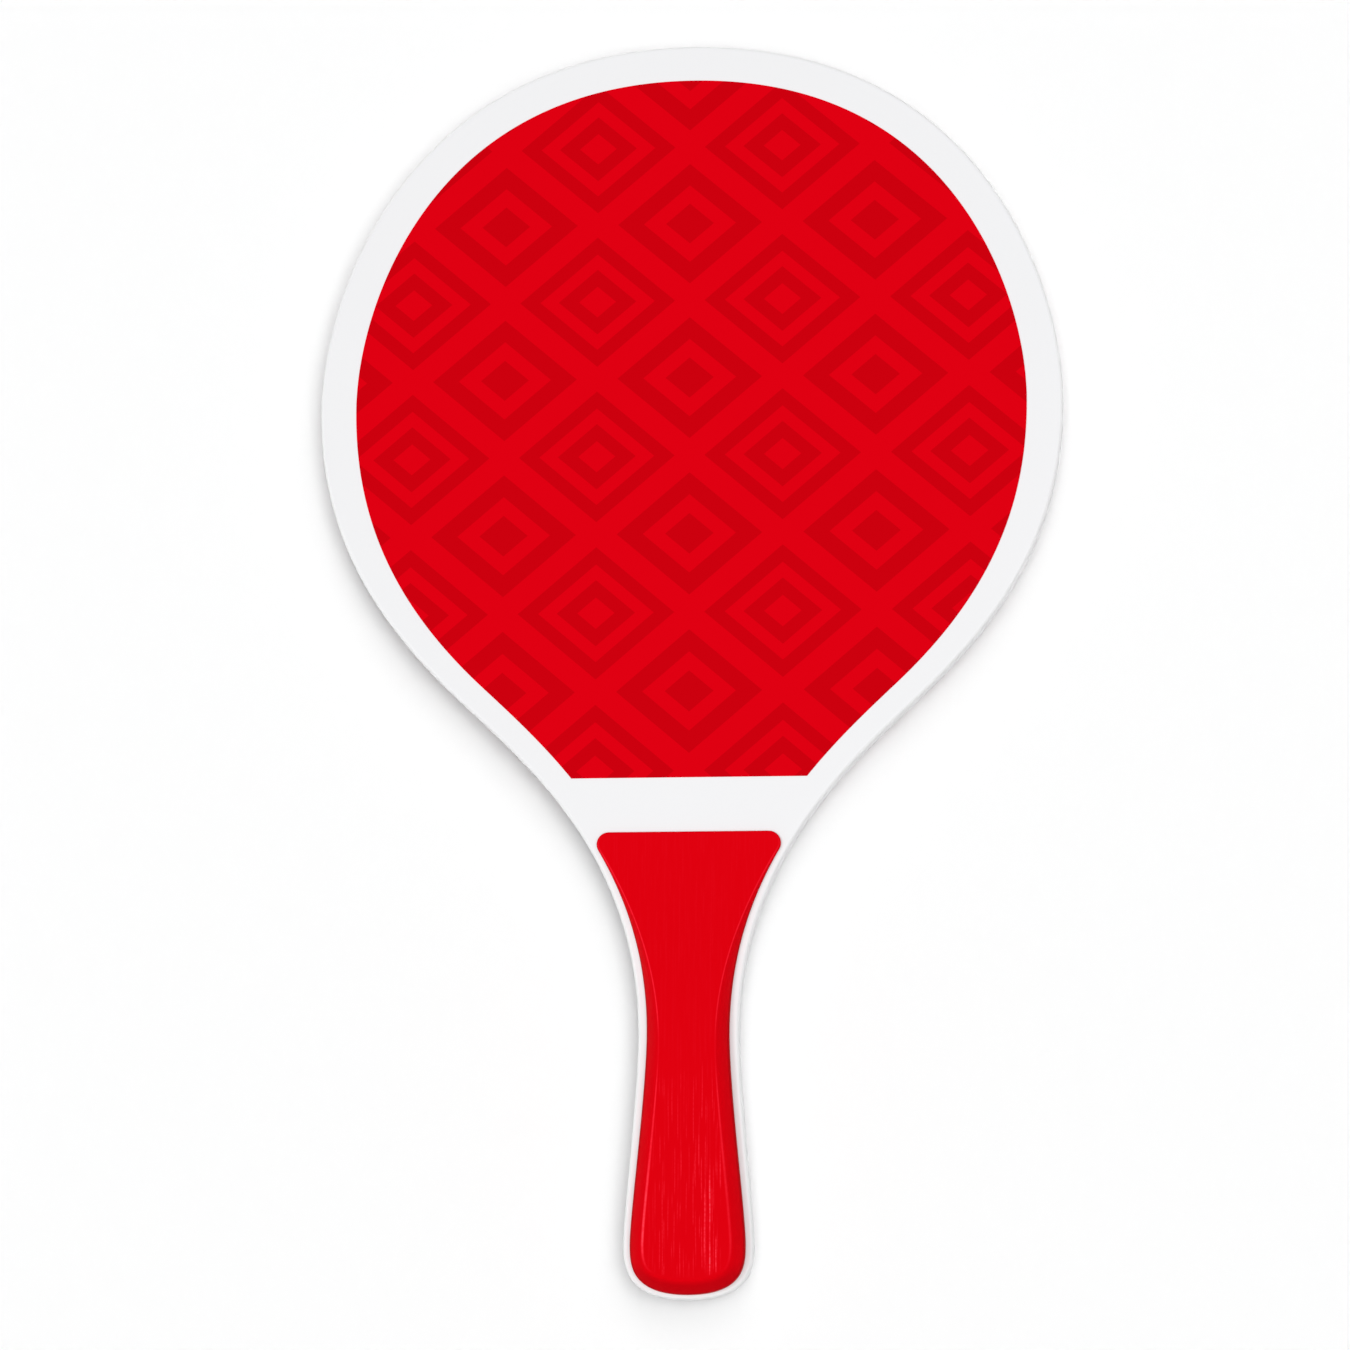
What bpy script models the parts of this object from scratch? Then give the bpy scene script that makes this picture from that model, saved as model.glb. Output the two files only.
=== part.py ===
"""Beach tennis racket: a plywood blade with a printed film on each face and a wooden grip scale on each side.

The racket lies flat with its front face up. X runs across it, Y runs from the butt to the crown of the head, and Z is
up. The origin is under the middle of the racket, on the surface that its back grip scale rests on. All sizes are in
metres.
"""
import math

import bpy
from mathutils import Vector

# Blade outline. Stations are measured from the butt's end.
RACKET_LENGTH = 0.380
HEAD_WIDTH = 0.224
HEAD_WIDEST_FROM_BUTT = 0.268
FLANK_WIDTH = 0.1346
FLANK_FROM_BUTT = 0.1766
FLANK_SLOPE = math.radians(43.4)
WAIST_WIDTH = 0.0297
WAIST_FROM_BUTT = 0.0774
BUTT_WIDTH = 0.0382
BUTT_WIDEST_FROM_END = 0.0154

# How far each arc of the outline runs straight on from its two ends, as a share of its chord.
CROWN_PULL_RATIOS = (0.543, 0.243)
SHOULDER_PULL_RATIOS = (0.430, 0.298)
NECK_PULL_RATIOS = (0.258, 0.455)
HANDLE_PULL_RATIOS = (0.278, 0.157)
BUTT_PULL_RATIOS = (0.317, 0.665)

# Plies of the blade, from the middle out. The glue line is the gap between any two glued pieces.
CORE_VENEER = 0.0014
CROSS_VENEER = 0.0012
FACE_VENEER = 0.0010
GLUE_LINE = 0.0003
RIM_ROUNDING = 0.0010

# Printed film: how far its edge lies inside the blade's edge.
FILM_THICKNESS = 0.00025
FILM_INSET_AT_CROWN = 0.0109
FILM_INSET_AT_SIDE = 0.0108
FILM_INSET_AT_FLANK = 0.0075
BARE_BAND = 0.0164

# Grip scale: the ledge of bare blade around it, its thickness and its chamfer.
GRIP_TOP_FROM_BUTT = 0.1376
GRIP_CORNER_RADIUS = 0.0036
LEDGE_AT_FLANK = 0.0010
LEDGE_AT_WAIST = 0.0027
LEDGE_AT_BUTT = 0.0022
LEDGE_AT_END = 0.0012
GRIP_THICKNESS = 0.0060
GRIP_WALL = 0.0023
GRIP_WALL_AT_TOP = 0.0008
WALL_RAMP_FROM_BUTT = 0.1050
WALL_RAMP_LENGTH = 0.0430
GRIP_TOP_RISE = 0.0003
CHAMFER_WIDTH = 0.0039
CHAMFER_WIDTH_AT_TOP = 0.0003
RAMP_LENGTH = 0.070

# The chamfer's section: how much steeper than straight it starts, and where its corners lie, as shares of its width.
CHAMFER_START_RATIO = 1.4
CHAMFER_SHARES = (0.0, 0.3, 0.6, 0.9, 1.0)

# Points along each arc of half the outline, and along a grip corner.
CROWN_STEPS = 20
SHOULDER_STEPS = 14
NECK_STEPS = 14
HANDLE_STEPS = 9
BUTT_STEPS = 10
CORNER_STEPS = 5
ROUNDING_STEPS = 3

WHITE = (0.905, 0.905, 0.914, 1.0)
FILM_RED = (0.753, 0.0, 0.006, 1.0)
GRIP_RED = (0.753, 0.001, 0.007, 1.0)

CORE_HALF = CORE_VENEER / 2
CROSS_INNER = CORE_HALF + GLUE_LINE
FACE_INNER = CROSS_INNER + CROSS_VENEER + GLUE_LINE
BLADE_HALF = FACE_INNER + FACE_VENEER
ROUNDING = min(RIM_ROUNDING, BLADE_HALF)
SEAT = BLADE_HALF + GLUE_LINE
BLADE_MIDDLE_HEIGHT = SEAT + GRIP_THICKNESS
FILM_BOTTOM_FROM_BUTT = GRIP_TOP_FROM_BUTT + BARE_BAND


def clear_scene():
    """Removes the objects of the startup scene."""
    for obj in list(bpy.data.objects):
        bpy.data.objects.remove(obj, do_unlink=True)


def ease(share):
    """A smooth step from 0 to 1."""
    share = min(max(share, 0.0), 1.0)
    return share * share * (3 - 2 * share)


def stations():
    """The places that half the outline passes, from the crown down to the butt's end, and its heading there."""
    flank_heading = Vector((-math.cos(FLANK_SLOPE), -math.sin(FLANK_SLOPE)))
    return ((Vector((0, RACKET_LENGTH)), Vector((1, 0))),
            (Vector((HEAD_WIDTH / 2, HEAD_WIDEST_FROM_BUTT)), Vector((0, -1))),
            (Vector((FLANK_WIDTH / 2, FLANK_FROM_BUTT)), flank_heading),
            (Vector((WAIST_WIDTH / 2, WAIST_FROM_BUTT)), Vector((0, -1))),
            (Vector((BUTT_WIDTH / 2, BUTT_WIDEST_FROM_END)), Vector((0, -1))),
            (Vector((0, 0)), Vector((-1, 0))))


ARCS = ((CROWN_PULL_RATIOS, CROWN_STEPS),
        (SHOULDER_PULL_RATIOS, SHOULDER_STEPS),
        (NECK_PULL_RATIOS, NECK_STEPS),
        (HANDLE_PULL_RATIOS, HANDLE_STEPS),
        (BUTT_PULL_RATIOS, BUTT_STEPS))


def arc(start, end, pulls, share):
    """The point and the outward normal of the cubic curve between two stations."""
    (a, heading_a), (d, heading_d) = start, end
    chord = (d - a).length
    b = a + heading_a * chord * pulls[0]
    c = d - heading_d * chord * pulls[1]
    rest = 1 - share
    point = a * rest ** 3 + b * 3 * rest ** 2 * share + c * 3 * rest * share ** 2 + d * share ** 3
    tangent = (b - a) * rest ** 2 + (c - b) * 2 * rest * share + (d - c) * share ** 2
    tangent.normalize()
    return point, Vector((-tangent.y, tangent.x))


def half_outline(insets):
    """Half the blade's outline, moved in by one inset per station, as points with their outward normals."""
    places = stations()
    half = []
    for index, (pulls, steps) in enumerate(ARCS):
        for step in range(0 if index == 0 else 1, steps + 1):
            share = step / steps
            point, normal = arc(places[index], places[index + 1], pulls, share)
            inset = insets[index] + (insets[index + 1] - insets[index]) * ease(share)
            half.append((point - normal * inset, normal))
    return half


def meet(half, height, extra_inset=0.0):
    """Where the half outline, moved in a little more, first comes down to a height: index and share of the step."""
    heights = [(point - normal * extra_inset).y for point, normal in half]
    for index in range(1, len(half)):
        if heights[index] <= height:
            share = (heights[index - 1] - height) / (heights[index - 1] - heights[index])
            return index, share
    return len(half) - 1, 1.0


def between(half, index, share):
    """The point and normal at a share of the step that ends at an index."""
    (point_a, normal_a), (point_b, normal_b) = half[index - 1], half[index]
    return point_a.lerp(point_b, share), normal_a.lerp(normal_b, share).normalized()


def film_half():
    """Half the film's outline, down to the corner of its straight bottom edge."""
    side = FILM_INSET_AT_SIDE
    flank = FILM_INSET_AT_FLANK
    half = half_outline((FILM_INSET_AT_CROWN, side, flank, flank, flank, flank))
    index, share = meet(half, FILM_BOTTOM_FROM_BUTT)
    corner, normal = between(half, index, share)
    return half[:index] + [(corner, normal)]


def grip_half():
    """Half the grip scale's outline, from the middle of its straight top edge, round its corner, to the butt."""
    flank, waist = LEDGE_AT_FLANK, LEDGE_AT_WAIST
    half = half_outline((flank, flank, flank, waist, LEDGE_AT_BUTT, LEDGE_AT_END))
    index, share = meet(half, GRIP_TOP_FROM_BUTT - GRIP_CORNER_RADIUS, GRIP_CORNER_RADIUS)
    side, side_normal = between(half, index, share)
    centre = side - side_normal * GRIP_CORNER_RADIUS
    up = Vector((0, 1))
    turn = math.atan2(side_normal.y, side_normal.x)
    corner = []
    for step in range(CORNER_STEPS + 1):
        angle = math.pi / 2 + (turn - math.pi / 2) * step / CORNER_STEPS
        normal = Vector((math.cos(angle), math.sin(angle)))
        corner.append((centre + normal * GRIP_CORNER_RADIUS, normal))
    middle = (Vector((0, GRIP_TOP_FROM_BUTT)), up)
    return [middle] + corner + half[index:]


def ring(half_points):
    """A closed loop of 3D points from half of it: down the right side and up the left."""
    left = [Vector((-p.x, p.y, p.z)) for p in reversed(half_points) if p.x > 1e-9]
    return half_points + left


def loft(name, rings, half_count):
    """A closed mesh through rings of equal length, capped by strips that run straight across each end ring."""
    count = len(rings[0])
    points = [p for loop in rings for p in loop]
    faces = []
    for level in range(len(rings) - 1):
        low, high = level * count, (level + 1) * count
        for i in range(count):
            j = (i + 1) % count
            faces.append((low + j, low + i, high + i, high + j))
    for level, upward in ((0, False), (len(rings) - 1, True)):
        base = level * count
        for i in range(half_count - 1):
            corners = (i, i + 1, (count - i - 1) % count, (count - i) % count)
            strip = [base + c for c in dict.fromkeys(corners)]
            faces.append(strip if not upward else list(reversed(strip)))
    mesh = bpy.data.meshes.new(name)
    mesh.from_pydata(points, [], faces)
    mesh.validate()
    mesh.shade_smooth()
    mesh.set_sharp_from_angle(angle=math.radians(30))
    return mesh


def at_height(half, extra_inset, height):
    """The half outline moved in a little more and lifted to a height."""
    flat = [point - normal * extra_inset for point, normal in half]
    return [Vector((p.x, p.y, height)) for p in flat]


def rim_inset(height):
    """How far the rounded rim lies inside the widest outline at a height above the blade's middle."""
    over = max(height - (BLADE_HALF - ROUNDING), 0.0)
    return ROUNDING - math.sqrt(max(ROUNDING ** 2 - over ** 2, 0.0))


def veneer_mesh(name, inner, thickness):
    """One ply, its inner face at local zero, with its share of the blade's rounded rim."""
    half = half_outline((0, 0, 0, 0, 0, 0))
    rings = []
    for step in range(ROUNDING_STEPS + 1):
        lift = thickness * math.sin(math.pi / 2 * step / ROUNDING_STEPS)
        rings.append(ring(at_height(half, rim_inset(inner + lift), lift)))
    return loft(name, rings, len(half))


def core_mesh(name):
    """The middle ply, which lies inside the straight part of the rim."""
    half = half_outline((0, 0, 0, 0, 0, 0))
    edge = rim_inset(CORE_HALF)
    rings = [ring(at_height(half, edge, height)) for height in (-CORE_HALF, CORE_HALF)]
    return loft(name, rings, len(half))


def film_mesh(name):
    """The printed film, a thin sheet with square edges."""
    half = film_half()
    rings = [ring(at_height(half, 0, height)) for height in (0, FILM_THICKNESS)]
    return loft(name, rings, len(half))


def ramp(y):
    """How far the grip has grown from its thin top edge to its full thickness."""
    return ease((GRIP_TOP_FROM_BUTT - y) / RAMP_LENGTH)


def chamfer_width(y):
    return CHAMFER_WIDTH_AT_TOP + (CHAMFER_WIDTH - CHAMFER_WIDTH_AT_TOP) * ramp(y)


def wall_height(y):
    """Height of the grip's upright wall, which is low at the head and full along the handle."""
    return GRIP_WALL_AT_TOP + (GRIP_WALL - GRIP_WALL_AT_TOP) * ease((WALL_RAMP_FROM_BUTT - y) / WALL_RAMP_LENGTH)


def grip_height(y):
    low = GRIP_WALL_AT_TOP + GRIP_TOP_RISE
    return low + (GRIP_THICKNESS - low) * ramp(y)


def grip_mesh(name):
    """The grip scale: an upright wall, then a chamfer that widens as the scale gets thicker, then the top."""
    half = grip_half()
    rings = [ring(at_height(half, 0, 0))]
    for across in CHAMFER_SHARES:
        rise = CHAMFER_START_RATIO * across + (1 - CHAMFER_START_RATIO) * across ** 2
        level = []
        for point, normal in half:
            top = point - normal * chamfer_width(point.y)
            flat = point.lerp(top, across)
            wall = wall_height(point.y)
            level.append(Vector((flat.x, flat.y, wall + (grip_height(top.y) - wall) * rise)))
        rings.append(ring(level))
    return loft(name, rings, len(half))


def material(name, colour, roughness):
    """A plain finish: colour, roughness, no metal."""
    finish = bpy.data.materials.new(name)
    finish.use_nodes = True
    shader = finish.node_tree.nodes["Principled BSDF"]
    shader.inputs["Base Color"].default_value = colour
    shader.inputs["Roughness"].default_value = roughness
    shader.inputs["Metallic"].default_value = 0.0
    return finish


def place(name, mesh, finish, parent, height, back=False):
    """Adds a piece at a height over the blade's middle, or turned over below it for the back."""
    piece = bpy.data.objects.new(name, mesh)
    bpy.context.scene.collection.objects.link(piece)
    piece.parent = parent
    piece.location = (0, 0, -height if back else height)
    piece.rotation_euler = (0, math.pi if back else 0, 0)
    if not mesh.materials:
        mesh.materials.append(finish)
    return piece


def main():
    clear_scene()
    racket = bpy.data.objects.new("racket", None)
    bpy.context.scene.collection.objects.link(racket)
    racket.location = (0, -RACKET_LENGTH / 2, BLADE_MIDDLE_HEIGHT)

    lacquer = material("white_lacquer", WHITE, 0.30)
    sealed_rim = material("lacquered_rim", WHITE, 0.40)
    film_print = material("red_film", FILM_RED, 0.35)
    grip_paint = material("red_paint", GRIP_RED, 0.40)

    place("core_veneer", core_mesh("core_veneer"), sealed_rim, racket, 0)
    pairs = (("cross_veneer", veneer_mesh("cross_veneer", CROSS_INNER, CROSS_VENEER), sealed_rim, CROSS_INNER),
             ("face_veneer", veneer_mesh("face_veneer", FACE_INNER, FACE_VENEER), lacquer, FACE_INNER),
             ("face_film", film_mesh("face_film"), film_print, SEAT),
             ("grip_scale", grip_mesh("grip_scale"), grip_paint, SEAT))
    for name, mesh, finish, height in pairs:
        place(name + "_front", mesh, finish, racket, height)
        place(name + "_back", mesh, finish, racket, height, back=True)


main()
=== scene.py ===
# %% [markdown]
# A wooden beach bat is a flat plywood blade with its head and its handle cut in one outline. Each face carries a
# printed film on the head and a wooden grip scale on the handle. Here the measured parts of such a bat get their
# finished shapes and finishes. They come first, because every new piece has to lie where they lie.

# %% The measured parts
import math

import bmesh
import bpy
from mathutils import Matrix, Vector


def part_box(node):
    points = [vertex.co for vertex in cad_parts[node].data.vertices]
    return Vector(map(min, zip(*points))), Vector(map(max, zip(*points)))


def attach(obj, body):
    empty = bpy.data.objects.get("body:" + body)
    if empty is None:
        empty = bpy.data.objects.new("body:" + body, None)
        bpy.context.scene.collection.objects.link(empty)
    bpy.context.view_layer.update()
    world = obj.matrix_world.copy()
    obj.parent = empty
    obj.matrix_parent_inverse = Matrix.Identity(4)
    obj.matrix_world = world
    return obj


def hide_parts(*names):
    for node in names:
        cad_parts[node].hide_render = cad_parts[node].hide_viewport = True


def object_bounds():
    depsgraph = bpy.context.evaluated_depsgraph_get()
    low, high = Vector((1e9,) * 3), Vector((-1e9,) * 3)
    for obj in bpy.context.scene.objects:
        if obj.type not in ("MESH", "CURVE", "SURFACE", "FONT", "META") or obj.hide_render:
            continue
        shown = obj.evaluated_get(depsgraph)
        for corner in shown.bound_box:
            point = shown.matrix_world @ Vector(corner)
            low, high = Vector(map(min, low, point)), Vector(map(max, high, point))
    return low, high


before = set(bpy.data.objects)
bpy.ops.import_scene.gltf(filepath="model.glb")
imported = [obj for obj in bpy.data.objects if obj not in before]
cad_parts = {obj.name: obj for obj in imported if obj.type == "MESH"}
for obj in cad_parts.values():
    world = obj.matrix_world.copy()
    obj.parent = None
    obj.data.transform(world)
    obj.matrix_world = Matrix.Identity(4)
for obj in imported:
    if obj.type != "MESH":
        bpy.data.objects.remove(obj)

cad_low, cad_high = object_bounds()
print("measured parts:", ", ".join(sorted(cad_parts)))
print("box in mm:", [round(side * 1000, 2) for side in cad_high - cad_low])

# %% [markdown]
# The picture was taken from almost straight above, a little from the butt's side and a little from the right. A long
# lens from one and a half metres keeps the head and the handle in the same proportion as in the picture. The camera
# is placed by its line of sight, so that nothing has to be turned by hand.

# %% Camera
SIGHT = Vector((0.085, -0.19, 1)).normalized()
AIM = Vector((-0.004524, -0.004418, 0.0098))
DISTANCE = 1.5
ROLL = 0.00252
PICTURE_PIXELS = 1350
PIXELS_PER_METRE = 3349.12
SENSOR = 36.0

right = Vector((0, 1, 0)).cross(SIGHT).normalized()
up = SIGHT.cross(right)
across = right * math.cos(ROLL) + up * math.sin(ROLL)
upward = up * math.cos(ROLL) - right * math.sin(ROLL)
camera = bpy.data.objects.new("camera", bpy.data.cameras.new("camera"))
bpy.context.scene.collection.objects.link(camera)
camera.matrix_world = Matrix.Translation(AIM + SIGHT * DISTANCE) @ Matrix((across, upward, SIGHT)).transposed().to_4x4()
camera.data.sensor_width = SENSOR
camera.data.lens = DISTANCE * PIXELS_PER_METRE * SENSOR / PICTURE_PIXELS
camera.data.clip_start = 0.05
camera.data.clip_end = 60.0
bpy.context.scene.camera = camera
print("lens:", round(camera.data.lens, 1), "mm")

# %% [markdown]
# Every piece of the bat follows one outline: the blade is cut on it, and the film and the grip scales lie a few
# millimetres inside it. It could be drawn as a Bezier curve by hand, but then the pieces would drift apart when one
# of them changes. So it is worked out from six places on one side, with a smooth arc between each two.

# %% Outline of the blade
FLANK_SLOPE = math.radians(43.4)
PLACES = (("crown", Vector((0, cad_high.y)), Vector((1, 0))),
          ("widest", Vector((cad_high.x, 0.078)), Vector((0, -1))),
          ("flank", Vector((0.0673, -0.0134)), Vector((-math.cos(FLANK_SLOPE), -math.sin(FLANK_SLOPE)))),
          ("waist", Vector((0.01485, -0.1126)), Vector((0, -1))),
          ("butt", Vector((0.0191, -0.1746)), Vector((0, -1))),
          ("end", Vector((0, cad_low.y)), Vector((-1, 0))))
ARC_PULLS = ((0.543, 0.243), (0.430, 0.298), (0.258, 0.455), (0.278, 0.157), (0.317, 0.665))
ARC_OVER_CHORD = 1.1
LEAST_STEPS = 8
BLADE_SPACING = 0.0009


def ease(share):
    """A smooth step from 0 to 1."""
    share = min(max(share, 0.0), 1.0)
    return share * share * (3 - 2 * share)


def arc_point(index, share):
    """A point of one arc of the outline, and the direction that leads out of the blade there."""
    (_, a, heading_a), (_, d, heading_d) = PLACES[index], PLACES[index + 1]
    chord = (d - a).length
    b = a + heading_a * chord * ARC_PULLS[index][0]
    c = d - heading_d * chord * ARC_PULLS[index][1]
    rest = 1 - share
    point = a * rest ** 3 + b * 3 * rest ** 2 * share + c * 3 * rest * share ** 2 + d * share ** 3
    along = ((b - a) * rest ** 2 + (c - b) * 2 * rest * share + (d - c) * share ** 2).normalized()
    return point, Vector((-along.y, along.x))


def half_outline(insets, spacing):
    """Half the outline from the crown to the end, moved in by one inset for each place."""
    half = []
    for index in range(len(ARC_PULLS)):
        chord = (PLACES[index + 1][1] - PLACES[index][1]).length
        steps = max(LEAST_STEPS, round(ARC_OVER_CHORD * chord / spacing))
        for step in range(0 if index == 0 else 1, steps + 1):
            share = step / steps
            point, out = arc_point(index, share)
            inset = insets[index] + (insets[index + 1] - insets[index]) * ease(share)
            half.append((point - out * inset, out))
    return half


blade_half = half_outline((0,) * len(PLACES), BLADE_SPACING)
print("points on half the outline:", len(blade_half))

# %% [markdown]
# The film and the grip scale take the same outline, moved in, and end it with a straight edge across the bat. The
# film's corners stay sharp, because film is cut with a knife. The grip scale's corners are sanded round.

# %% Outlines of the film and of the grip scale
FILM_INSETS = (0.0109, 0.0108, 0.0075, 0.0075, 0.0075, 0.0075)
GRIP_INSETS = (0.0010, 0.0010, 0.0010, 0.0027, 0.0022, 0.0012)
FILM_SPACING, FILM_BOTTOM_SPACING = 0.0012, 0.0020
GRIP_SPACING, GRIP_TOP_SPACING = 0.0007, 0.0012
GRIP_CORNER = 0.0036
CORNER_STEPS = 12
FILM_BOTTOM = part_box("face_film_front")[0].y
GRIP_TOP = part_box("grip_scale_front")[1].y
TO_BUTT, TO_CROWN = Vector((0, -1)), Vector((0, 1))


def cut_at(half, height, inset):
    """Where the half outline, moved in a little more, first comes down to a height: the next point, and the cut."""
    heights = [(point - out * inset).y for point, out in half]
    index = next(i for i, y in enumerate(heights) if y <= height)
    share = (heights[index - 1] - height) / (heights[index - 1] - heights[index])
    point = half[index - 1][0].lerp(half[index][0], share)
    return index, point, half[index - 1][1].lerp(half[index][1], share).normalized()


def straight_edge(x_from, x_to, y, out, spacing):
    """Evenly spaced points between two places on a straight edge, without its ends."""
    steps = max(2, round(abs(x_to - x_from) / spacing))
    return [(Vector((x_from + (x_to - x_from) * step / steps, y)), out) for step in range(1, steps)]


film_half = half_outline(FILM_INSETS, FILM_SPACING)
index, corner, side_out = cut_at(film_half, FILM_BOTTOM, 0)
corner_out = (side_out + TO_BUTT) / (1 + side_out.dot(TO_BUTT))
film_half = film_half[:index] + [(corner, corner_out)]
film_half += straight_edge(corner.x, 0, FILM_BOTTOM, TO_BUTT, FILM_BOTTOM_SPACING)
film_half.append((Vector((0, FILM_BOTTOM)), TO_BUTT))

grip_side = half_outline(GRIP_INSETS, GRIP_SPACING)
index, start, start_out = cut_at(grip_side, GRIP_TOP - GRIP_CORNER, GRIP_CORNER)
centre = start - start_out * GRIP_CORNER
turn = math.atan2(start_out.y, start_out.x)
grip_half = [(Vector((0, GRIP_TOP)), TO_CROWN)]
grip_half += straight_edge(0, centre.x, GRIP_TOP, TO_CROWN, GRIP_TOP_SPACING)
for step in range(CORNER_STEPS + 1):
    angle = math.pi / 2 + (turn - math.pi / 2) * step / CORNER_STEPS
    out = Vector((math.cos(angle), math.sin(angle)))
    grip_half.append((centre + out * GRIP_CORNER, out))
grip_half += grip_side[index:]
print("film corner at x", round(corner.x * 1000, 1), "mm, grip corner at x", round(centre.x * 1000, 1), "mm")

# %% [markdown]
# All nine pieces are made in one way: a section is carried round an outline, as a router bit is carried round a
# board. Geometry Nodes suit this, because one tree serves every piece. The outline is a loop of points that remember
# which way is out. The section is a row of points that say how far in, how high and how far towards the middle. How
# far in is counted in widths of the edge. A height of 1 is the top of the upright wall, and 2 the top of the piece.

# %% Loops and sections
MIDLINE = 1e-9


def as_object(name, mesh):
    """Puts a mesh into the scene."""
    thing = bpy.data.objects.new(name, mesh)
    bpy.context.scene.collection.objects.link(thing)
    return thing


def loop_mesh(name, half):
    """A closed loop, up the right side and down the left one."""
    left = [(Vector((-point.x, point.y)), Vector((-out.x, out.y))) for point, out in half if point.x > MIDLINE]
    loop = list(reversed(half)) + left
    mesh = bpy.data.meshes.new(name)
    count = len(loop)
    mesh.from_pydata([(point.x, point.y, 0) for point, _ in loop], [(i, (i + 1) % count) for i in range(count)], [])
    outward = mesh.attributes.new("outward", "FLOAT_VECTOR", "POINT")
    for item, (_, out) in zip(outward.data, loop):
        item.vector = (out.x, out.y, 0)
    return mesh


def section_object(name, rows):
    """The points of a section: how far in, how high, how far towards the middle, and how much darker its finish is."""
    mesh = bpy.data.meshes.new(name)
    mesh.from_pydata([row[:3] for row in rows], [], [])
    glue_line_and_shade_mark = mesh.attributes.new("edge", "FLOAT", "POINT")
    for item, row in zip(glue_line_and_shade_mark.data, rows):
        item.value = row[3]
    return as_object(name, mesh)


# %% [markdown]
# Node trees written in a script get long, so a few helpers keep them readable. The first adds a node and fills its
# inputs in order, with numbers or with links. The others do so for arithmetic, for smooth steps and for noise, and
# give the result straight away.

# %% Helpers for node trees
def add(tree, kind, *values, **options):
    """Adds a node, sets its options, then wires or sets its open inputs in order. None leaves one as it is."""
    node = tree.nodes.new(kind)
    for option, choice in options.items():
        setattr(node, option, choice)
    for socket, value in zip([s for s in node.inputs if s.enabled], values):
        if isinstance(value, bpy.types.NodeSocket):
            tree.links.new(value, socket)
        elif value is not None:
            socket.default_value = value
    return node


def result(node):
    """The first open output of a node."""
    return next(socket for socket in node.outputs if socket.enabled)


def maths(tree, operation, *values):
    """A Math node's result."""
    return result(add(tree, "ShaderNodeMath", *values, operation=operation))


def smooth_range(tree, value, low, high, at_low, at_high):
    """Eases from one value to another while the input goes from low to high."""
    return result(add(tree, "ShaderNodeMapRange", value, low, high, at_low, at_high, interpolation_type="SMOOTHSTEP"))


def noise(tree, at, scale=1.0, detail=1.0, roughness=0.5, seed=None):
    """Soft noise. Another seed gives another pattern."""
    if seed is None:
        return result(add(tree, "ShaderNodeTexNoise", at, scale, detail, roughness))
    return result(add(tree, "ShaderNodeTexNoise", at, seed, scale, detail, roughness, noise_dimensions="4D"))


def open_tree(name, kind, inputs, outputs):
    """A node tree with named inputs and outputs, and its two end nodes."""
    tree = bpy.data.node_groups.new(name, kind)
    for label, socket_type, value in inputs:
        socket = tree.interface.new_socket(label, in_out="INPUT", socket_type=socket_type)
        if value is not None:
            socket.default_value = value
    for label, socket_type in outputs:
        tree.interface.new_socket(label, in_out="OUTPUT", socket_type=socket_type)
    return tree, tree.nodes.new("NodeGroupInput").outputs, tree.nodes.new("NodeGroupOutput").inputs


# %% [markdown]
# The tree lays a grid with one column for each point of the outline and one row for each point of the section. Each
# grid point then looks up its column and its row, and moves to where the section stands on the outline. The grip
# scale gets thinner towards the head, so the height and the width of the edge may change along a ramp, and its
# upright wall along another one. A slow wave of noise lowers the top a little, where the wood has been sanded.

# %% The tree that carries a section round an outline
METRES, POINTS = "NodeSocketFloat", "NodeSocketGeometry"
carry, given, made = open_tree(
    "section round an outline", "GeometryNodeTree",
    (("Outline", POINTS, None), ("Section", "NodeSocketObject", None), ("Finish", "NodeSocketMaterial", None),
     ("Seat Height", METRES, 0.0), ("Thin Wall", METRES, 0.001), ("Full Wall", METRES, 0.001),
     ("Thin Height", METRES, 0.001), ("Full Height", METRES, 0.001), ("Thin Edge", METRES, 0.001),
     ("Full Edge", METRES, 0.001), ("Ramp Start", METRES, 0.0), ("Ramp End", METRES, -0.1),
     ("Wall Ramp Start", METRES, 0.0), ("Wall Ramp End", METRES, -0.1), ("Spine Centre", METRES, 0.0),
     ("Spine Share", METRES, 0.9), ("Relief", METRES, 0.0), ("Relief Width", METRES, 0.004),
     ("Relief Length", METRES, 0.04), ("Seed", METRES, 0.0), ("Blade Middle", METRES, 0.0), ("Turn", METRES, 0.0)),
    (("Piece", POINTS),))

section_points = add(carry, "GeometryNodeObjectInfo", given["Section"]).outputs["Geometry"]
rows = add(carry, "GeometryNodeAttributeDomainSize", section_points).outputs["Point Count"]
columns = add(carry, "GeometryNodeAttributeDomainSize", given["Outline"]).outputs["Point Count"]
grid = add(carry, "GeometryNodeMeshGrid", 1.0, 1.0, maths(carry, "ADD", columns, 1.0), rows).outputs["Mesh"]

place = result(add(carry, "GeometryNodeInputIndex"))
column = maths(carry, "FLOOR", maths(carry, "DIVIDE", maths(carry, "ADD", place, 0.5), rows))
row = maths(carry, "SUBTRACT", place, maths(carry, "MULTIPLY", column, rows))
column = maths(carry, "MODULO", column, columns)
position = result(add(carry, "GeometryNodeInputPosition"))


def look_up(points, field, index, data_type="FLOAT_VECTOR"):
    """The value that a field has on one point of another mesh."""
    return result(add(carry, "GeometryNodeSampleIndex", points, field, index, data_type=data_type))


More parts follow.
